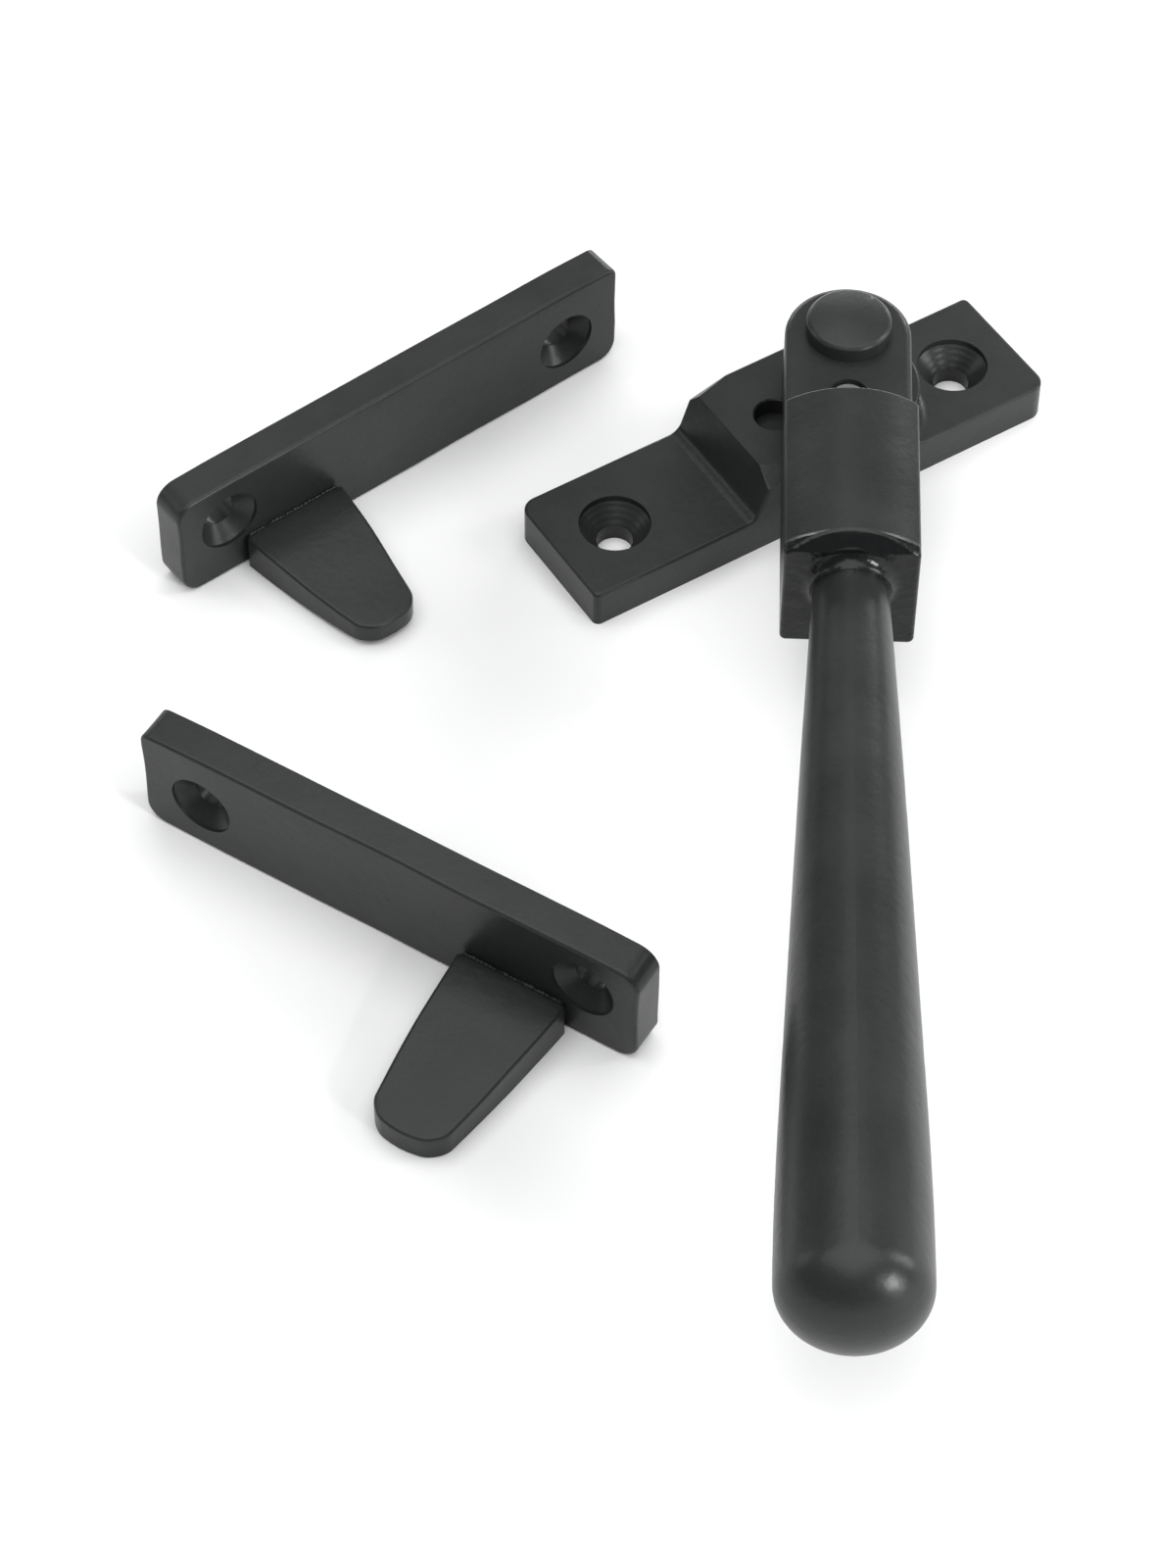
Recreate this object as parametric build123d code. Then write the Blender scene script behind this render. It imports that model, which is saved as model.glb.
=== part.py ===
from build123d import *
import os
from math import sqrt

# Locking casement fastener with a left-hand and a right-hand keep.
# Millimetres. The origin is midway between the two screw holes of the mounting
# plate, on the face that lies against the window. X runs along the plate, Z points
# away from the window. The two keeps lie loose beside the plate on the same level.

# Mounting plate
plate_length = 71.0
plate_width = 19.0
pad_thickness = 5.6
platform_height = 12.2
screw_inset = 8.85
soft_corner = 2.2
crisp_corner = 0.9
plate_edge_radius = 0.45
riser_run = 2.3
riser_foot_radius = 1.8
boss_overhang = 0.4
boss_foot_radius = 1.7
platform_left_reach = 19.9
front_facet_drop = 2.2
front_facet_along = 5.6
front_facet_across = 3.2
back_facet_drop = 2.4
back_facet_along = 6.2
back_facet_across = 1.6

# Countersunk screw holes of the plate and the keeps (No. 8 screws)
screw_hole_radius = 2.4
sink_radius = 4.72
sink_lip = 0.9
keep_sink_radius = 4.3
keep_sink_lip = 0.5

# Lock hole for the point of the grub screw
lock_distance = 11.0
lock_hole_radius = 2.7
lock_hole_depth = 2.6
lock_hole_chamfer = 0.2

# Pivot rivet and its washers
pivot_offset = 8.9
shank_radius = 3.0
head_radius = 5.5
head_height = 2.8
head_dome = 0.5
head_rim_radius = 0.4
head_blend_radius = 0.33
head_crown_rise = 0.37
washer_radius = 6.6
washer_thickness = 0.9
tail_washer_radius = 5.2
tail_washer_thickness = 0.8
tail_radius = 4.3
tail_height = 1.1
tail_face_radius = 3.4
tail_recess_radius = 5.6
tail_recess_margin = 0.3
press_clearance = 0.02
running_clearance = 0.05
axial_play = 0.06

# How far a cutter runs past the metal, how near two places count as one, and
# the handle length of a Bezier curve that follows a quarter of an ellipse
overrun = 1.0
nearly = 0.01
quarter_pull = 0.5523

# Handle, one casting: nose, block and grip
handle_rest_angle = -124.1
nose_radius = 8.2
nose_thickness = 8.5
nose_edge_radius = 1.0
block_start = 19.8
block_length = 25.6
block_half_width = 8.35
block_ridge_rise = 10.6
block_top_radius = 13.9
block_shoulder_radius = 2.6
block_edge_radius = 0.5
block_brow_height = 2.4
block_brow_lean = 1.8
block_corner_radius = 0.8
block_rear_edge_radius = 0.35
block_overlap = 2.0
grip_axis_rise = 2.5
neck_radius = 4.7
neck_slope = 0.057
neck_flare = 1.6
grip_waist_radius = 6.4
grip_waist_distance = 34.4
grip_palm_radius = 7.93
grip_palm_distance = 69.1
grip_end_radius = 8.9
grip_end_depth = 7.0
grip_length = 107.7

# Locking grub screw in the nose
grub_radius = 2.45
grub_length = 7.2
grub_point_radius = 1.6
grub_point_length = 0.8
grub_socket_width = 2.5
grub_socket_depth = 2.6
grub_below_top = 0.5

# Keeps: a flat plate on edge with a wedge tongue
keep_length = 71.0
keep_height = 16.3
keep_thickness = 5.0
keep_corner_radius = 2.8
keep_far_top_corner_radius = 1.4
keep_edge_radius = 0.5
keep_near_screw_inset = 7.6
keep_near_screw_height = 9.5
keep_far_screw_inset = 8.6
keep_far_screw_height = 7.5
tongue_offset = 9.5
tongue_root_width = 15.3
tongue_left_tip_width = 8.4
tongue_right_tip_width = 10.0
tongue_left_reach = 22.3
tongue_right_reach = 25.1
tongue_root_thickness = 5.3
tongue_tip_top = 3.7
tongue_left_tip_bottom = 1.1
tongue_right_tip_bottom = 0.15
tongue_tip_radius = 2.6
tongue_edge_radius = 0.45

# Where the keeps lie: place of each keep's outer lower corner and its turn
keep_left_gap_x = 42.3
keep_left_gap_y = 13.25
keep_left_turn = 6.0
keep_right_gap_x = 63.7
keep_right_gap_y = 3.45
keep_right_turn = -63.85

# Levels and places that follow from the sizes above
pad_screw_x = plate_length / 2 - screw_inset
pivot_x = pivot_offset
boss_radius = plate_width / 2 + boss_overhang
lock_x = pivot_x - lock_distance
riser_foot_x = pivot_x - platform_left_reach
riser_top_x = riser_foot_x + riser_run
nose_bottom = platform_height + washer_thickness + axial_play
nose_top = nose_bottom + nose_thickness
grip_axis_height = nose_top + grip_axis_rise
block_ridge = nose_top + block_ridge_rise
block_end = block_start + block_length
tail_recess_depth = tail_washer_thickness + tail_height + tail_recess_margin


def ring_solid(radius, bottom, top):
    return Pos(0, 0, bottom) * Cylinder(radius, top - bottom, align=(Align.CENTER, Align.CENTER, Align.MIN))


def countersink(depth, lip, rim_radius):
    # The cutter for one screw hole, mouth at z = 0, running down to -depth.
    cone = rim_radius - screw_hole_radius
    with BuildPart() as cutter:
        with BuildSketch(Plane.XZ):
            with BuildLine():
                Polyline(
                    (0, overrun),
                    (rim_radius, overrun),
                    (rim_radius, -lip),
                    (screw_hole_radius, -lip - cone),
                    (screw_hole_radius, -depth - overrun),
                    (0, -depth - overrun),
                    close=True,
                )
            make_face()
        revolve(axis=Axis.Z)
    return cutter.part


def corner_facet(side, drop, along, across):
    # Cutter for the filed corner where the riser meets the front (-1) or back (1) face.
    edge = side * plate_width / 2
    low = Vector(riser_foot_x, edge, platform_height - drop)
    ahead = Vector(riser_top_x + along, edge, platform_height)
    inward = Vector(riser_top_x, edge - side * across, platform_height)
    facet = Plane(origin=low, z_dir=(inward - low).cross(ahead - low) * side)
    reach = 3 * (along + drop + across)
    cutter = facet * Box(reach, reach, reach, align=(Align.CENTER, Align.CENTER, Align.MIN))
    zone = Box(plate_length, 2 * plate_width, platform_height, align=(Align.MIN, Align.CENTER, Align.MIN))
    return cutter & Pos(riser_foot_x - riser_foot_radius, 0, (pad_thickness + platform_height) / 2) * zone


def plate_profile():
    # Side view: long pad, steep riser, platform, short pad.
    half_length = plate_length / 2
    profile = make_face(Polyline(
        (-half_length, 0),
        (-half_length, pad_thickness),
        (riser_foot_x, pad_thickness),
        (riser_top_x, platform_height),
        (pivot_x, platform_height),
        (pivot_x, pad_thickness),
        (half_length, pad_thickness),
        (half_length, 0),
        close=True,
    ))
    foot = [v for v in profile.vertices() if abs(v.X - riser_foot_x) < nearly]
    return fillet(foot, riser_foot_radius)


def lies_flat_at(edge, height):
    box = edge.bounding_box()
    return abs(box.min.Z - height) < nearly and box.size.Z < nearly


def plate_blank():
    # The casting before its holes: a bar whose platform ends in an arc about the pivot.
    half_length = plate_length / 2
    half_width = plate_width / 2
    body = extrude(Plane.XZ.offset(-half_width) * plate_profile(), plate_width)
    bar = Pos(0, 0, platform_height / 2) * Box(plate_length, plate_width, platform_height)
    body += bar & Pos(pivot_x, 0, 0) * ring_solid(boss_radius, 0, platform_height)
    ends = [e for e in body.edges().filter_by(Axis.Z) if abs(abs(e.center().X) - half_length) < nearly]
    body = fillet([e for e in ends if e.center().X * e.center().Y < 0], soft_corner)
    ends = [e for e in body.edges().filter_by(Axis.Z) if abs(abs(e.center().X) - half_length) < nearly]
    body = fillet([e for e in ends if e.center().X * e.center().Y > 0], crisp_corner)
    boss_foot = [e for e in body.edges().filter_by(GeomType.CIRCLE)
                 if lies_flat_at(e, pad_thickness) and 0 < e.center().X < pad_screw_x]
    body = fillet(boss_foot, boss_foot_radius)
    upper = [e for e in body.edges() if e.bounding_box().min.Z > pad_thickness - nearly]
    sides = [e for e in upper if e.bounding_box().size.Y < nearly < e.bounding_box().size.X
             and abs(abs(e.center().Y) - half_width) < nearly]
    end_rims = [e for e in upper if lies_flat_at(e, pad_thickness) and e not in sides
                and abs(e.center().X) > half_length - soft_corner]
    boss_rim = [e for e in upper if lies_flat_at(e, platform_height) and e.geom_type == GeomType.CIRCLE]
    return fillet(sides + end_rims + boss_rim, plate_edge_radius)


def mounting_plate():
    plate = plate_blank()
    plate -= corner_facet(-1, front_facet_drop, front_facet_along, front_facet_across)
    plate -= corner_facet(1, back_facet_drop, back_facet_along, back_facet_across)
    hole = countersink(pad_thickness, sink_lip, sink_radius)
    for side in (-1, 1):
        plate -= Pos(side * pad_screw_x, 0, pad_thickness) * hole
    lock_bottom = platform_height - lock_hole_depth
    plate -= Pos(lock_x, 0, 0) * ring_solid(lock_hole_radius, lock_bottom, platform_height + overrun)
    plate -= Pos(lock_x, 0, platform_height) * Cone(
        lock_hole_radius, lock_hole_radius + 2 * lock_hole_chamfer, 2 * lock_hole_chamfer)
    shank_hole = ring_solid(shank_radius + press_clearance, -overrun, platform_height + overrun)
    plate -= Pos(pivot_x, 0, 0) * shank_hole
    plate -= Pos(pivot_x, 0, 0) * ring_solid(tail_recess_radius, -overrun, tail_recess_depth)
    return plate


def pivot_rivet():
    # Head above the nose, shank through handle and plate, tail clenched on its washer.
    tail_top = tail_recess_depth - tail_washer_thickness
    head_bottom = nose_top + axial_play
    head_top = head_bottom + head_height
    rim_top = head_top - head_dome
    crown = head_radius - head_rim_radius
    with BuildPart() as rivet:
        with BuildSketch(Plane.XZ):
            with BuildLine():
                Polyline(
                    (crown, rim_top),
                    (head_radius, rim_top - head_rim_radius),
                    (head_radius, head_bottom),
                    (shank_radius, head_bottom),
                    (shank_radius, tail_top),
                    (tail_radius, tail_top),
                    (tail_face_radius, tail_top - tail_height),
                    (0, tail_top - tail_height),
                    (0, head_top),
                )
                ThreePointArc((0, head_top), (crown / 2, rim_top + head_crown_rise), (crown, rim_top))
            make_face()
        revolve(axis=Axis.Z)
        rings = rivet.edges().filter_by(GeomType.CIRCLE)
        shoulder = [e for e in rings
                    if lies_flat_at(e, rim_top) or lies_flat_at(e, rim_top - head_rim_radius)]
        fillet(shoulder, head_blend_radius)
    return Pos(pivot_x, 0, 0) * rivet.part


def flat_washer(outer, bottom, thickness):
    washer = ring_solid(outer, bottom, bottom + thickness)
    washer -= ring_solid(shank_radius + press_clearance, bottom - overrun, bottom + thickness + overrun)
    return Pos(pivot_x, 0, 0) * washer


def handle_nose():
    # A flat eye round the pivot, run a little way into the block.
    reach = block_start + block_overlap
    with BuildPart() as nose:
        with BuildSketch(Plane.XY.offset(nose_bottom)):
            Circle(nose_radius)
            with Locations((reach / 2, 0)):
                Rectangle(reach, 2 * nose_radius)
        extrude(amount=nose_thickness)
        top = [e for e in nose.edges() if lies_flat_at(e, nose_top)]
        fillet([e for e in top if e.bounding_box().min.X < block_start], nose_edge_radius)
    return nose.part


def block_section():
    # Vertical sides, flat bottom, arched top with rounded shoulders.
    drop = block_top_radius - sqrt(block_top_radius ** 2 - block_half_width ** 2)
    shoulder = block_ridge - drop
    with BuildSketch(Plane.YZ.offset(block_start)) as section:
        with BuildLine():
            Polyline(
                (-block_half_width, shoulder),
                (-block_half_width, nose_bottom),
                (block_half_width, nose_bottom),
                (block_half_width, shoulder),
            )
            ThreePointArc((block_half_width, shoulder), (0, block_ridge), (-block_half_width, shoulder))
        make_face()
        corners = section.vertices()
        fillet([v for v in corners if v.Z > shoulder - nearly], block_shoulder_radius)
        fillet([v for v in section.vertices() if v.Z < nose_bottom + nearly], block_corner_radius)
    return section.sketch


def handle_block():
    # The front face stands upright, then leans back to the brow of the arch.
    block = extrude(block_section(), amount=block_length, dir=(1, 0, 0))
    side_view = Polyline(
        (block_start, nose_bottom),
        (block_start, block_ridge),
        (block_end - block_brow_lean, block_ridge),
        (block_end, block_ridge - block_brow_height),
        (block_end, nose_bottom),
        close=True,
    )
    block = block & extrude(Plane.XZ.offset(-block_half_width) * make_face(side_view), 2 * block_half_width)
    front = [e for e in block.edges() if e.bounding_box().min.X > block_end - block_brow_lean - nearly]
    block = fillet(front, block_edge_radius)
    rear = [e for e in block.edges() if e.bounding_box().max.X < block_start + nearly]
    return fillet(rear, block_rear_edge_radius)


def handle_grip():
    # Turned shape about the grip's axis: flared neck, slow swell, rounded end.
    start = block_end - block_overlap
    neck = block_end + neck_flare
    waist = block_end + grip_waist_distance
    palm = block_end + grip_palm_distance
    tip = block_end + grip_length
    swell_end = tip - grip_end_depth
    flare_radius = neck_radius + neck_flare
    with BuildPart() as grip:
        with BuildSketch(Plane.XZ):
            with BuildLine():
                Polyline((start, 0), (start, flare_radius), (block_end, flare_radius))
                RadiusArc((block_end, flare_radius), (neck, neck_radius), -neck_flare)
                Spline(
                    (neck, neck_radius),
                    (waist, grip_waist_radius),
                    (palm, grip_palm_radius),
                    (swell_end, grip_end_radius),
                    tangents=((1, neck_slope), (1, 0)),
                )
                Bezier(
                    (swell_end, grip_end_radius),
                    (swell_end + quarter_pull * grip_end_depth, grip_end_radius),
                    (tip, quarter_pull * grip_end_radius),
                    (tip, 0),
                )
                Line((tip, 0), (start, 0))
            make_face()
        revolve(axis=Axis.X)
    return Pos(0, 0, grip_axis_height) * grip.part


def place_handle(piece):
    return Pos(pivot_x, 0, 0) * Rot(0, 0, handle_rest_angle) * piece


def handle():
    body = handle_nose() + handle_block() + handle_grip()
    low = nose_bottom - overrun
    high = nose_top + overrun
    body -= ring_solid(shank_radius + running_clearance, low, high)
    body -= Pos(lock_distance, 0, 0) * ring_solid(grub_radius + running_clearance, low, high)
    return place_handle(body)


def grub_screw():
    top = nose_top - grub_below_top
    bottom = top - grub_length
    shank = ring_solid(grub_radius, bottom + grub_point_length, top)
    point = Pos(0, 0, bottom + grub_point_length) * Cone(
        grub_point_radius, grub_radius, grub_point_length, align=(Align.CENTER, Align.CENTER, Align.MAX))
    socket = RegularPolygon(grub_socket_width / sqrt(3), 6)
    socket = Pos(0, 0, top - grub_socket_depth) * extrude(socket, grub_socket_depth + overrun)
    return place_handle(Pos(lock_distance, 0, 0) * (shank + point - socket))


def keep_plate(hand):
    # Stands on its long edge. The tongue side is the -Y face.
    with BuildPart() as plate:
        with BuildSketch(Plane.XZ):
            with Locations((keep_length / 2, keep_height / 2)):
                Rectangle(keep_length, keep_height)
        extrude(amount=-keep_thickness)
        corners = plate.edges().filter_by(Axis.Y)
        far_top = [e for e in corners if e.center().X > keep_length / 2 and e.center().Z > keep_height / 2]
        fillet([e for e in corners if e not in far_top], keep_corner_radius)
        far_edges = plate.edges().filter_by(Axis.Y).group_by(Axis.X)[-1]
        fillet(far_edges.sort_by(Axis.Z)[-1], keep_far_top_corner_radius)
        front = [e for e in plate.edges() if e.bounding_box().max.Y < nearly]
        fillet(front, keep_edge_radius)
    plate = plate.part
    near = (keep_near_screw_inset, keep_near_screw_height)
    far = (keep_length - keep_far_screw_inset, keep_far_screw_height)
    for x, height in (near, far):
        hole = countersink(keep_thickness, keep_sink_lip, keep_sink_radius)
        plate -= Pos(x, 0, height) * Rot(90, 0, 0) * hole
    return to_hand(plate, hand)


def keep_tongue(hand):
    # A wedge against the plate's face, thick at the root and thinner at the tip. The two are
    # finished by hand, and the right one is a little longer, wider and thicker at its tip.
    middle = tongue_offset + tongue_root_width / 2
    root = tongue_root_width / 2
    tip = tongue_right_tip_width / 2
    reach = tongue_right_reach
    tip_bottom = tongue_right_tip_bottom
    if hand == "left":
        tip = tongue_left_tip_width / 2
        reach = tongue_left_reach
        tip_bottom = tongue_left_tip_bottom
    outline = Polyline(
        (middle - root, 0),
        (middle - tip, -reach),
        (middle + tip, -reach),
        (middle + root, 0),
        close=True,
    )
    tongue = extrude(make_face(outline), tongue_root_thickness)
    corners = [e for e in tongue.edges().filter_by(Axis.Z) if e.center().Y < -reach + nearly]
    tongue = fillet(corners, tongue_tip_radius)
    wedge = Polyline(
        (0, 0),
        (0, tongue_root_thickness),
        (-reach, tongue_tip_top),
        (-reach, tip_bottom),
        close=True,
    )
    tongue = tongue & extrude(Plane.YZ * make_face(wedge), keep_length)
    rim = [e for e in tongue.edges()
           if e.center().Y < -nearly and e.bounding_box().min.Z > tongue_tip_top - nearly]
    tongue = fillet(rim, tongue_edge_radius)
    return to_hand(tongue, hand)


def to_hand(piece, hand):
    if hand == "right":
        piece = Pos(keep_length, 0, 0) * mirror(piece, Plane.YZ)
    return piece


def place_keep(piece, hand):
    left_edge = -plate_length / 2
    if hand == "left":
        spot = Pos(left_edge - keep_left_gap_x, plate_width / 2 + keep_left_gap_y, 0)
        return spot * Rot(0, 0, keep_left_turn) * piece
    spot = Pos(left_edge - keep_right_gap_x, -plate_width / 2 + keep_right_gap_y, 0)
    return spot * Rot(0, 0, keep_right_turn) * piece


pieces = {
    "mounting_plate": mounting_plate(),
    "pivot_rivet": pivot_rivet(),
    "friction_washer": flat_washer(washer_radius, platform_height, washer_thickness),
    "tail_washer": flat_washer(
        tail_washer_radius, tail_recess_depth - tail_washer_thickness, tail_washer_thickness),
    "handle": handle(),
    "locking_grub_screw": grub_screw(),
}
for hand in ("left", "right"):
    pieces[f"keep_{hand}_plate"] = place_keep(keep_plate(hand), hand)
    pieces[f"keep_{hand}_tongue"] = place_keep(keep_tongue(hand), hand)

os.makedirs("parts", exist_ok=True)
for name, solid in pieces.items():
    export_step(solid, f"parts/{name}.step")
    box = solid.bounding_box()
    print(name, round(solid.volume, 1), [round(v, 2) for v in box.min], [round(v, 2) for v in box.max])
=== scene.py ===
import math

import bpy
import bmesh
from mathutils import Matrix, Vector, noise


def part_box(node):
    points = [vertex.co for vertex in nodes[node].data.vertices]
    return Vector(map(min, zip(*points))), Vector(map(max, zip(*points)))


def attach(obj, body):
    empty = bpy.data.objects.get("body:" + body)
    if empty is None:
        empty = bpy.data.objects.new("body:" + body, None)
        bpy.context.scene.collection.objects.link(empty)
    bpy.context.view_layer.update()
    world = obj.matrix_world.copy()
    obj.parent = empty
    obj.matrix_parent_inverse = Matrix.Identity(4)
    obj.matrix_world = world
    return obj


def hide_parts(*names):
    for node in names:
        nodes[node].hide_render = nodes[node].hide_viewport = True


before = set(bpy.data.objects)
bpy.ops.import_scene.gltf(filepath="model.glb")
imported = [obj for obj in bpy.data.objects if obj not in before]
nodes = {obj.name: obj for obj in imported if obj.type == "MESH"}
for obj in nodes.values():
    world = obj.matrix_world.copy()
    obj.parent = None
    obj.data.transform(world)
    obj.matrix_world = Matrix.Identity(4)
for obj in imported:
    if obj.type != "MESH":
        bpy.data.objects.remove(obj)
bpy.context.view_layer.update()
mm = 0.001
mergeDistance = 0.000002
sliceDistance = 0.000001
sharpAngle = 30
print("frame loaded:", sorted(nodes))


# one wrapper for node sockets, so that shader maths reads as plain sums
class Sock:
    def __init__(self, tree, socket):
        self.tree = tree
        self.socket = socket

    def maths(self, operation, *values):
        return addNode(self.tree, "ShaderNodeMath", {"operation": operation},
                       dict(enumerate(values)))

    def __add__(self, other):
        return self.maths("ADD", self, other)

    def __radd__(self, other):
        return self.maths("ADD", other, self)

    def __sub__(self, other):
        return self.maths("SUBTRACT", self, other)

    def __rsub__(self, other):
        return self.maths("SUBTRACT", other, self)

    def __mul__(self, other):
        return self.maths("MULTIPLY", self, other)

    def __rmul__(self, other):
        return self.maths("MULTIPLY", other, self)

    def __pow__(self, other):
        return self.maths("POWER", self, other)


def addNode(tree, kind, settings=None, inputs=None, output=0):
    node = tree.nodes.new(kind)
    for name, value in (settings or {}).items():
        setattr(node, name, value)
    for name, value in (inputs or {}).items():
        if isinstance(value, Sock):
            tree.links.new(value.socket, node.inputs[name])
        else:
            node.inputs[name].default_value = value
    return Sock(tree, node.outputs[output])


def newMaterial(name):
    material = bpy.data.materials.new(name)
    material.use_nodes = True
    shader = next(n for n in material.node_tree.nodes if n.type == "BSDF_PRINCIPLED")
    return material, material.node_tree, shader


def objectPoint(tree):
    return addNode(tree, "ShaderNodeTexCoord", output="Object")


def noiseField(tree, point, scale, detail, rough):
    return addNode(tree, "ShaderNodeTexNoise", {"noise_dimensions": "3D"},
                   {"Vector": point, "Scale": scale, "Detail": detail, "Roughness": rough},
                   output="Fac")


def smoothStep(tree, value, low, high):
    return addNode(tree, "ShaderNodeMapRange", {"interpolation_type": "SMOOTHSTEP"},
                   {"Value": value, "From Min": low, "From Max": high})


def mixColour(tree, factor, first, second):
    node = tree.nodes.new("ShaderNodeMix")
    node.data_type = "RGBA"
    for place, value in ((0, factor), (6, first), (7, second)):
        if isinstance(value, Sock):
            tree.links.new(value.socket, node.inputs[place])
        else:
            node.inputs[place].default_value = value
    return Sock(tree, node.outputs[2])


coatLook = {
    "colour": (0.0150, 0.0162, 0.0158, 1),
    # colour of painted shade laid into hollows
    "paleColour": (0.0205, 0.0220, 0.0215, 1),
    "shadeColour": (0.0050, 0.0054, 0.0056, 1),
    "specular": 0.28,
    "roughness": 0.34,
    "roughnessSpread": 0.12,
    # each noise: scale per metre, detail, roughness
    "grainNoise": (2200.0, 3.0, 0.6),    # powder texture
    "grainHeight": 0.000016,
    "patchNoise": (90.0, 3.0, 0.55),     # patches a shade paler than the rest
    "grainShare": 0.4,
    "toneRange": (0.3, 0.7),
    "peelNoise": (850.0, 1.0, 0.5),      # orange peel of the baked coat
    "peelHeight": 0.000022,
    "waveNoise": (150.0, 1.5, 0.4),      # slow waves of the casting underneath
    "waveHeight": 0.00010,
}


def powderCoat(name, look, extraHeight=None, extraShade=None, extraGloss=0.0):
    material, tree, shader = newMaterial(name)
    point = objectPoint(tree)
    grain = noiseField(tree, point, *look["grainNoise"])
    patch = noiseField(tree, point, *look["patchNoise"])
    wave = noiseField(tree, point, *look["waveNoise"])
    peel = noiseField(tree, point, *look["peelNoise"])
    height = grain * look["grainHeight"] + peel * look["peelHeight"] + wave * look["waveHeight"]
    if extraHeight:
        height = height + extraHeight(tree, point)
    mottle = patch * (1 - look["grainShare"]) + grain * look["grainShare"]
    tone = smoothStep(tree, mottle, *look["toneRange"])
    colour = mixColour(tree, tone, look["colour"], look["paleColour"])
    rough = look["roughness"] - look["roughnessSpread"] / 2 + patch * look["roughnessSpread"]
    # painted shade: a darker colour mixed in over the given mask, with a glossier finish there
    if extraShade:
        paintedShade = extraShade(tree, point)
        colour = mixColour(tree, paintedShade, colour, look["shadeColour"])
        rough = rough - paintedShade * extraGloss
    tree.links.new(colour.socket, shader.inputs["Base Color"])
    tree.links.new(rough.socket, shader.inputs["Roughness"])
    bump = addNode(tree, "ShaderNodeBump", None,
                   {"Strength": 1.0, "Distance": 1.0, "Height": height})
    tree.links.new(bump.socket, shader.inputs["Normal"])
    shader.inputs["Specular IOR Level"].default_value = look["specular"]
    return material


steelLook = {
    "colour": (0.26, 0.26, 0.25, 1),
    "paleColour": (0.40, 0.40, 0.38, 1),
    "roughness": 0.24,
    "roughnessSpread": 0.2,
    "grainNoise": (900.0, 3.0, 0.6),
    "grainHeight": 0.000008,
}


def bareSteel(name, look):
    material, tree, shader = newMaterial(name)
    point = objectPoint(tree)
    fine = noiseField(tree, point, *look["grainNoise"])
    colour = mixColour(tree, fine, look["colour"], look["paleColour"])
    tree.links.new(colour.socket, shader.inputs["Base Color"])
    rough = look["roughness"] + fine * look["roughnessSpread"]
    tree.links.new(rough.socket, shader.inputs["Roughness"])
    shader.inputs["Metallic"].default_value = 1.0
    height = fine * look["grainHeight"]
    bump = addNode(tree, "ShaderNodeBump", None,
                   {"Strength": 1.0, "Distance": 1.0, "Height": height})
    tree.links.new(bump.socket, shader.inputs["Normal"])
    return material


def dress(name, material):
    piece = nodes[name]
    piece.data.materials.clear()
    piece.data.materials.append(material)


# a merged copy of a CAD node's shape, ready to be worked on
def startFrom(node):
    bm = bmesh.new()
    bm.from_mesh(nodes[node].data)
    bmesh.ops.remove_doubles(bm, verts=bm.verts, dist=mergeDistance)
    return bm


def sliceAcross(bm, place, axis, start, stop, step):
    direction = place.to_3x3() @ Vector(axis)
    for i in range(int((stop - start) / step) + 1):
        point = place @ (Vector(axis) * (start + i * step) * mm)
        bmesh.ops.bisect_plane(bm, geom=bm.verts[:] + bm.edges[:] + bm.faces[:], dist=sliceDistance,
                               plane_co=point, plane_no=direction)


def finishPiece(bm, name, material, body, replaced):
    bmesh.ops.remove_doubles(bm, verts=bm.verts, dist=mergeDistance)
    mesh = bpy.data.meshes.new(name)
    bm.to_mesh(mesh)
    bm.free()
    if "custom_normal" in mesh.attributes:      # the old normals no longer fit the shape
        mesh.attributes.remove(mesh.attributes["custom_normal"])
    mesh.shade_smooth()
    mesh.set_sharp_from_angle(angle=math.radians(sharpAngle))
    mesh.materials.append(material)
    piece = bpy.data.objects.new(name, mesh)
    bpy.context.scene.collection.objects.link(piece)
    even = piece.modifiers.new("even shading", "WEIGHTED_NORMAL")
    even.keep_sharp = True
    even.weight = 80
    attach(piece, body)
    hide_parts(*replaced)
    return piece


plateLook = {
    "holeAway": 26.65,      # screw holes from the middle, mm
    "sinkRadius": 4.6,
    "sinkFade": 0.1,
    "ringPitch": 0.62,      # marks left by the countersinking tool
    "ringHeight": 0.006,
}
handleLook = {
    "pivotAway": 8.9,
    "heading": -124.1,
    "neckStart": 43.4,      # the cast hollow between block and grip, mm from the pivot
    "neckEnd": 48.5,
    "neckFade": (0.6, 2.0),
    "lumpNoise": (420.0, 2.0, 0.6),
    "lumpHeight": 0.16,
    "gloss": 0.09,
}


def turningRings(tree, point):
    across = addNode(tree, "ShaderNodeSeparateXYZ", None, {"Vector": point}, output="X")
    along = addNode(tree, "ShaderNodeSeparateXYZ", None, {"Vector": point}, output="Y")
    away = across.maths("ABSOLUTE", across) - plateLook["holeAway"] * mm
    reach = (away * away + along * along) ** 0.5
    edge = plateLook["sinkRadius"]
    inside = 1 - smoothStep(tree, reach, (edge - plateLook["sinkFade"]) * mm, edge * mm)
    ring = reach.maths("SINE", reach * (2 * math.pi / (plateLook["ringPitch"] * mm)))
    return ring * inside * (plateLook["ringHeight"] * mm)


# mask of the hollow between block and grip, for its lumps and for the painted shade in it
def neckHollow(tree, point):
    across = addNode(tree, "ShaderNodeSeparateXYZ", None, {"Vector": point}, output="X")
    along = addNode(tree, "ShaderNodeSeparateXYZ", None, {"Vector": point}, output="Y")
    heading = math.radians(handleLook["heading"])
    reach = (across - handleLook["pivotAway"] * mm) * math.cos(heading) + along * math.sin(heading)
    start = handleLook["neckStart"] * mm
    end = handleLook["neckEnd"] * mm
    fadeIn, fadeOut = handleLook["neckFade"]
    grows = smoothStep(tree, reach, start, start + fadeIn * mm)
    fades = smoothStep(tree, reach, end - fadeOut * mm, end)
    return grows * (1 - fades)


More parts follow.
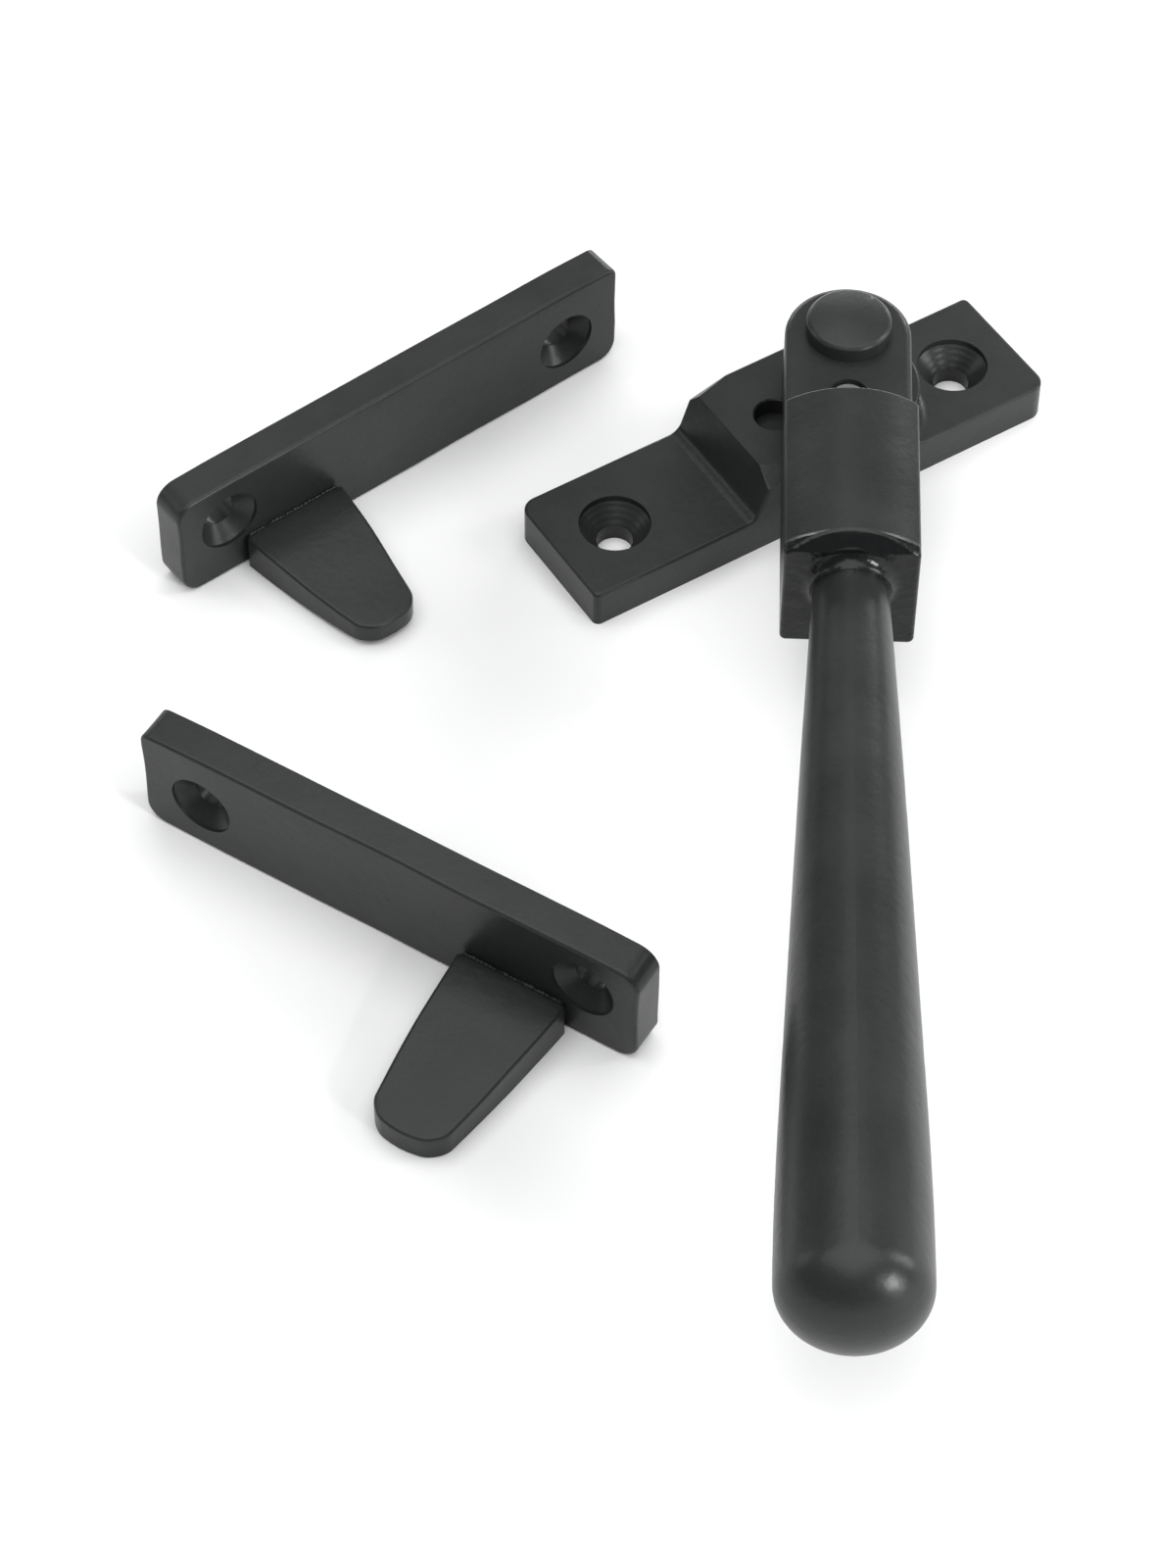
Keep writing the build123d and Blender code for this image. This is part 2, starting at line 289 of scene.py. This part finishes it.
def neckRoughness(tree, point):
    lumps = noiseField(tree, point, *handleLook["lumpNoise"])
    return lumps * neckHollow(tree, point) * (handleLook["lumpHeight"] * mm)


coatMaterial = powderCoat("satin black coat", coatLook)
plateMaterial = powderCoat("satin black coat of the plate", coatLook, turningRings)
# the handle's coat has painted shade in the neck hollow
handleMaterial = powderCoat("satin black coat of the handle", coatLook, neckRoughness, neckHollow,
                            handleLook["gloss"])
steelMaterial = bareSteel("bright plated steel", steelLook)
dress("mounting_plate", plateMaterial)
dress("pivot_rivet", coatMaterial)
dress("handle", handleMaterial)
for name in ("friction_washer", "tail_washer"):
    dress(name, steelMaterial)
print("materials given")

keeps = {
    "length": 71.0,
    "height": 16.3,
    "thickness": 5.0,
    "left": ((-77.8, 22.75), 6.0),        # outer lower corner and turn
    "right": ((-99.2, -6.05), -63.85),
    # axis, size, margin at either end and step of the plate's slices
    "plateSlices": (((1, 0, 0), "length", 1.5, 2.0),
                    ((0, 0, 1), "height", 2.0, 2.0),
                    ((0, 1, 0), "thickness", 1.0, 1.0)),
    "faceWave": 0.20,      # how far the ground faces wander, mm
    "edgeWave": 0.16,
    "waveLength": 17.0,
    "cornerRub": 1.2,
    "cornerStart": 0.8,    # share of the half length where the rub starts
    "endRub": 0.25,
    "endStart": 0.95,
    "endWaveLength": 9.0,
    "rootStart": 9.5,      # tongue from the plate's end
    "rootWidth": 15.3,
    "rootTop": 5.3,
    "reach": {"left": 22.3, "right": 25.1},
    "bulge": {"left": 0.05, "right": 0.045},
    "tipRound": {"left": 2.88, "right": 2.88},    # how far the tip's corners are drawn back
    "tongueStart": 0.4,
    "tongueMargin": 0.6,
    "tongueStep": 1.2,
    "seamSlices": (0.2, 0.8, 0.2),      # first, last and step
    "levelSlices": (1.0, 4.6, 0.9),
    "rootPinch": 0.7,
    "pinchReach": 0.8,
    "pinchLevel": 0.6,     # share of the height where the pinch starts
    "ragged": (0.45, 0.55, 1.1),        # least, spread and wave length
    "topWave": (0.10, 9.0),             # height and length
    "sideWave": (0.12, 8.0),
    "lowest": 0.01,
    "beadCount": 24,       # rough metal left along the joint
    "beadCover": 0.9,
    "beadOut": 0.22,
    "beadDrop": 0.3,
    "beadSize": 0.24,
    "beadShape": (1.6, 0.9, 1.0),
    # spread and wave length of a bead's place, size and level
    "beadPlaceWave": (0.3, 1.7),
    "beadSizeWave": (0.2, 0.7),
    "beadLevelWave": (0.25, 0.9),
}


def keepPlace(hand):
    (x, y), turn = keeps[hand]
    place = Matrix.Translation((x * mm, y * mm, 0)) @ Matrix.Rotation(math.radians(turn), 4, "Z")
    if hand == "right":   # the right keep is the left one mirrored end to end
        farEnd = Matrix.Translation((keeps["length"] * mm, 0, 0))
        place = place @ farEnd @ Matrix.Scale(-1, 4, (1, 0, 0))
    return place


def wander(point, seed, length):
    return noise.noise(Vector(point) / (length * mm) + Vector((seed * 7.3, seed * 3.1, seed * 5.7)))


def groundKeepPlate(hand, seed):
    place = keepPlace(hand)
    back = place.inverted()
    bm = startFrom(f"keep_{hand}_plate")
    for axis, size, margin, step in keeps["plateSlices"]:
        sliceAcross(bm, place, axis, margin, keeps[size] - margin, step)
    slow = keeps["waveLength"]
    for vert in bm.verts:
        spot = back @ vert.co
        fromBack = min(1, max(0, 1 - spot.y / (keeps["thickness"] * mm)))
        end = abs(spot.x / (keeps["length"] * mm) - 0.5) * 2
        high = spot.z / (keeps["height"] * mm)
        along = Vector((spot.x, 0, 0))
        spot.y += abs(wander(spot, seed, slow)) * keeps["faceWave"] * mm * fromBack
        spot.z -= abs(wander(along, seed + 2, slow)) * keeps["edgeWave"] * mm * high ** 2
        spot.z -= max(0, end - keeps["cornerStart"]) * keeps["cornerRub"] * mm * high ** 3
        inward = 1 if spot.x < keeps["length"] * mm / 2 else -1
        across = Vector((0, spot.y, spot.z))
        rub = abs(wander(across, seed + 4, keeps["endWaveLength"])) * keeps["endRub"] * mm
        spot.x += inward * rub * max(0, end - keeps["endStart"]) / (1 - keeps["endStart"])
        vert.co = place @ spot
    return finishPiece(bm, f"keep_{hand}_ground_plate", coatMaterial, f"keep_{hand}",
                       [f"keep_{hand}_plate"])


def groundKeepTongue(hand, seed):
    place = keepPlace(hand)
    back = place.inverted()
    reach = keeps["reach"][hand] * mm
    rootStart = keeps["rootStart"]
    rootEnd = rootStart + keeps["rootWidth"]
    middle = (rootStart + keeps["rootWidth"] / 2) * mm
    half = keeps["rootWidth"] / 2 * mm
    margin = keeps["tongueMargin"]
    step = keeps["tongueStep"]
    raggedLeast, raggedSpread, raggedLength = keeps["ragged"]
    topWave, topLength = keeps["topWave"]
    sideWave, sideLength = keeps["sideWave"]
    bm = startFrom(f"keep_{hand}_tongue")
    sliceAcross(bm, place, (0, -1, 0), keeps["tongueStart"], keeps["reach"][hand] - margin, step)
    sliceAcross(bm, place, (0, -1, 0), *keeps["seamSlices"])
    sliceAcross(bm, place, (1, 0, 0), rootStart + margin, rootEnd - margin, step)
    sliceAcross(bm, place, (0, 0, 1), *keeps["levelSlices"])
    for vert in bm.verts:
        spot = back @ vert.co
        t = min(1, max(0, -spot.y / reach))
        off = (spot.x - middle) / half
        spot.x = middle + off * half * (1 + keeps["bulge"][hand] * 4 * t * (1 - t))
        spot.y += keeps["tipRound"][hand] * mm * off * off * t ** 6
        # filed back where it meets the plate
        pinch = max(0, 1 - (-spot.y / mm) / keeps["pinchReach"])
        spot.x -= off * keeps["rootPinch"] * mm * pinch
        ragged = raggedLeast + raggedSpread * wander(Vector((spot.x, 0, 0)), seed + 6, raggedLength)
        level = spot.z / (keeps["rootTop"] * mm)
        top = max(0, level - keeps["pinchLevel"]) / (1 - keeps["pinchLevel"])
        spot.z -= keeps["rootPinch"] * mm * pinch * top * ragged
        spot.z += wander(spot, seed, topLength) * topWave * mm * min(1, spot.z / mm)
        spot.x += wander(spot, seed + 1, sideLength) * sideWave * mm
        spot.z = max(keeps["lowest"] * mm, spot.z)
        vert.co = place @ spot
    placeSpread, placeLength = keeps["beadPlaceWave"]
    sizeSpread, sizeLength = keeps["beadSizeWave"]
    levelSpread, levelLength = keeps["beadLevelWave"]
    for i in range(keeps["beadCount"]):
        shift = placeSpread * wander(Vector((i, 0, 0)) * mm, seed, placeLength)
        share = (i + 0.5 + shift) / keeps["beadCount"]
        swell = sizeSpread * abs(wander(Vector((i, 3, 0)) * mm, seed, sizeLength))
        size = (keeps["beadSize"] + swell) * mm
        rise = levelSpread * wander(Vector((i, 5, 0)) * mm, seed, levelLength)
        spot = Vector((middle + half * keeps["beadCover"] * (2 * share - 1), -keeps["beadOut"] * mm,
                       (keeps["rootTop"] - keeps["beadDrop"] + rise) * mm))
        sizes = [size * part for part in keeps["beadShape"]]
        shape = place @ Matrix.Translation(spot) @ Matrix.Diagonal((*sizes, 1))
        bead = bmesh.ops.create_icosphere(bm, subdivisions=1, radius=1.0, matrix=shape)
        if hand == "right":      # the mirrored place turns the bead inside out
            faces = list({f for v in bead["verts"] for f in v.link_faces})
            bmesh.ops.reverse_faces(bm, faces=faces)
    return finishPiece(bm, f"keep_{hand}_ground_tongue", coatMaterial, f"keep_{hand}",
                       [f"keep_{hand}_tongue"])


for seed, hand in ((3, "left"), (8, "right")):
    groundKeepPlate(hand, seed)
    groundKeepTongue(hand, seed)
print("keeps ground by hand")

grub = {
    "bottomToTop": 7.2,
    "radius": 2.45,
    "sides": 48,
    "footInset": 0.5,
    "shoulderHeight": 0.7,
    "shoulderInset": 0.1,
    "threadStart": 0.9,
    "plainLength": 1.2,
    "threadPitch": 0.8,
    "threadDepth": 0.28,
    "rimInset": 0.05,
    "rimBevel": 0.35,
    "socketAcross": 2.5,
    "socketMouth": 1.16,   # the round mouth against the socket's corners
    "socketDepth": 2.3,
    "drillPoint": 0.9,
}


def threadedGrubScrew():
    low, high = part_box("locking_grub_screw")
    middle = (low + high) / 2
    radius = grub["radius"] * mm
    wide = radius - grub["footInset"] * mm
    bm = bmesh.new()
    bmesh.ops.create_circle(bm, cap_ends=True, segments=grub["sides"], radius=wide,
                            matrix=Matrix.Translation((middle.x, middle.y, low.z)))
    turns = int((grub["bottomToTop"] - grub["plainLength"]) / (grub["threadPitch"] / 2))
    steps = [(low.z + grub["shoulderHeight"] * mm, radius - grub["shoulderInset"] * mm)]
    for i in range(turns):      # crests and roots one above the other
        depth = grub["threadDepth"] * mm if i % 2 else 0
        rise = (grub["threadStart"] + i * grub["threadPitch"] / 2) * mm
        steps.append((low.z + rise, radius - depth))
    steps.append((high.z - grub["rimBevel"] * mm, radius - grub["rimInset"] * mm))
    steps.append((high.z, radius - grub["rimBevel"] * mm))
    face = bm.faces[:]
    level = low.z
    for height, reach in steps:
        grown = bmesh.ops.extrude_face_region(bm, geom=face)
        verts = [v for v in grown["geom"] if isinstance(v, bmesh.types.BMVert)]
        face = [f for f in grown["geom"] if isinstance(f, bmesh.types.BMFace)]
        bmesh.ops.translate(bm, verts=verts, vec=(0, 0, height - level))
        bmesh.ops.scale(bm, verts=verts, vec=(reach / wide, reach / wide, 1),
                        space=Matrix.Translation((-middle.x, -middle.y, 0)))
        level, wide = height, reach
    socket = grub["socketAcross"] * mm / math.sqrt(3)
    bmesh.ops.inset_region(bm, faces=face, thickness=wide - socket * grub["socketMouth"])
    for vert in face[0].verts:      # the round mouth drawn in to six flats
        turn = math.atan2(vert.co.y - middle.y, vert.co.x - middle.x)
        fromFlat = (turn + math.pi / 6) % (math.pi / 3) - math.pi / 6
        flat = grub["socketAcross"] * mm / 2 / math.cos(fromFlat)
        vert.co.x = middle.x + flat * math.cos(turn)
        vert.co.y = middle.y + flat * math.sin(turn)
    sunk = bmesh.ops.extrude_face_region(bm, geom=face)
    verts = [v for v in sunk["geom"] if isinstance(v, bmesh.types.BMVert)]
    bmesh.ops.translate(bm, verts=verts, vec=(0, 0, -grub["socketDepth"] * mm))
    floor = [f for f in sunk["geom"] if isinstance(f, bmesh.types.BMFace)]
    drilled = bmesh.ops.poke(bm, faces=floor)      # the drill's point under the socket
    bmesh.ops.translate(bm, verts=drilled["verts"], vec=(0, 0, -grub["drillPoint"] * mm))
    bmesh.ops.recalc_face_normals(bm, faces=bm.faces[:])
    return finishPiece(bm, "threaded_grub_screw", steelMaterial, "grub_screw",
                       ["locking_grub_screw"])


threadedGrubScrew()
print("grub screw cut")

castPlate = {
    "edgeSoftness": 0.42,   # mm, on the edges the file has touched
    "edgeAngle": 16.0,
    "above": 6.2,           # only edges above the pads
    "before": -1.8,         # and short of the round boss
}


def softCastPlate():
    bm = startFrom("mounting_plate")
    keen = [e for e in bm.edges if len(e.link_faces) == 2
            and e.calc_face_angle() > math.radians(castPlate["edgeAngle"])
            and min(v.co.z for v in e.verts) > castPlate["above"] * mm
            and max(v.co.x for v in e.verts) < castPlate["before"] * mm]
    bmesh.ops.bevel(bm, geom=keen, offset=castPlate["edgeSoftness"] * mm, segments=3, profile=0.5,
                    affect="EDGES", clamp_overlap=True, material=-1)
    return finishPiece(bm, "mounting_plate_cast", plateMaterial, "plate",
                       ["mounting_plate"])


softCastPlate()
print("plate edges softened")

studio = {
    "cameraPlace": (-0.23605, -0.32147, 0.43492),
    "cameraTurn": (-32.409, 38.42, 0.354),   # heading, tilt, roll in degrees
    "lens": 102.06,
    "sensorWidth": 36.0,
    "nearest": 0.01,
    "floorColour": (0.83, 0.83, 0.83, 1),
    "floorRoughness": 0.8,
    "floorReach": 2.5,
    "airColour": (0.96, 0.98, 1.0, 1),
    "airStrength": 0.2,
    "middle": (-0.04, -0.03),
    # place to the right, forward and up from the middle, size, watts
    "overhead softbox": ((-0.05, -0.05, 0.9), (1.2, 1.2), 10.5),
    "back softbox": ((0.1, 0.95, 0.26), (1.3, 0.14), 6.5),
    "right softbox": ((0.8, 0.1, 0.38), (0.2, 0.5), 3.0),
    "left softbox": ((-0.8, 0.2, 0.3), (0.3, 0.4), 0.8),
    "front lamp": ((0.56, -0.5, 0.3), (0.17, 0.18), 4.4),
}


def addCamera():
    data = bpy.data.cameras.new("camera")
    data.lens = studio["lens"]
    data.sensor_width = studio["sensorWidth"]
    data.clip_start = studio["nearest"]
    camera = bpy.data.objects.new("camera", data)
    bpy.context.scene.collection.objects.link(camera)
    heading, tilt, roll = (math.radians(a) for a in studio["cameraTurn"])
    turn = (Matrix.Rotation(heading, 4, "Z") @ Matrix.Rotation(tilt, 4, "X")
            @ Matrix.Rotation(roll, 4, "Z"))
    camera.matrix_world = Matrix.Translation(studio["cameraPlace"]) @ turn
    bpy.context.scene.camera = camera


def addFloor():
    mesh = bpy.data.meshes.new("floor")
    bm = bmesh.new()
    bmesh.ops.create_grid(bm, x_segments=1, y_segments=1, size=studio["floorReach"])
    bm.to_mesh(mesh)
    bm.free()
    floor = bpy.data.objects.new("floor", mesh)
    bpy.context.scene.collection.objects.link(floor)
    material, tree, shader = newMaterial("pale floor")
    shader.inputs["Base Color"].default_value = studio["floorColour"]
    shader.inputs["Roughness"].default_value = studio["floorRoughness"]
    mesh.materials.append(material)


def areaLight(name):
    (right, forward, up), (width, height), power = studio[name]
    heading = math.radians(studio["cameraTurn"][0])
    ahead = Vector((-math.sin(heading), math.cos(heading), 0))
    side = Vector((math.cos(heading), math.sin(heading), 0))
    middle = Vector((*studio["middle"], 0))
    data = bpy.data.lights.new(name, "AREA")
    data.shape = "RECTANGLE"
    data.size = width
    data.size_y = height
    data.energy = power
    light = bpy.data.objects.new(name, data)
    bpy.context.scene.collection.objects.link(light)
    light.location = middle + side * right + ahead * forward + Vector((0, 0, up))
    light.rotation_euler = (middle - light.location).to_track_quat("-Z", "Y").to_euler()


def addLight():
    world = bpy.data.worlds.new("studio air")
    bpy.context.scene.world = world
    world.use_nodes = True
    air = next(n for n in world.node_tree.nodes if n.type == "BACKGROUND")
    air.inputs["Color"].default_value = studio["airColour"]
    air.inputs["Strength"].default_value = studio["airStrength"]
    for name in ("overhead softbox", "back softbox", "right softbox", "left softbox", "front lamp"):
        areaLight(name)


addCamera()
addFloor()
addLight()
bpy.context.scene.view_settings.view_transform = "Standard"
print("studio set")
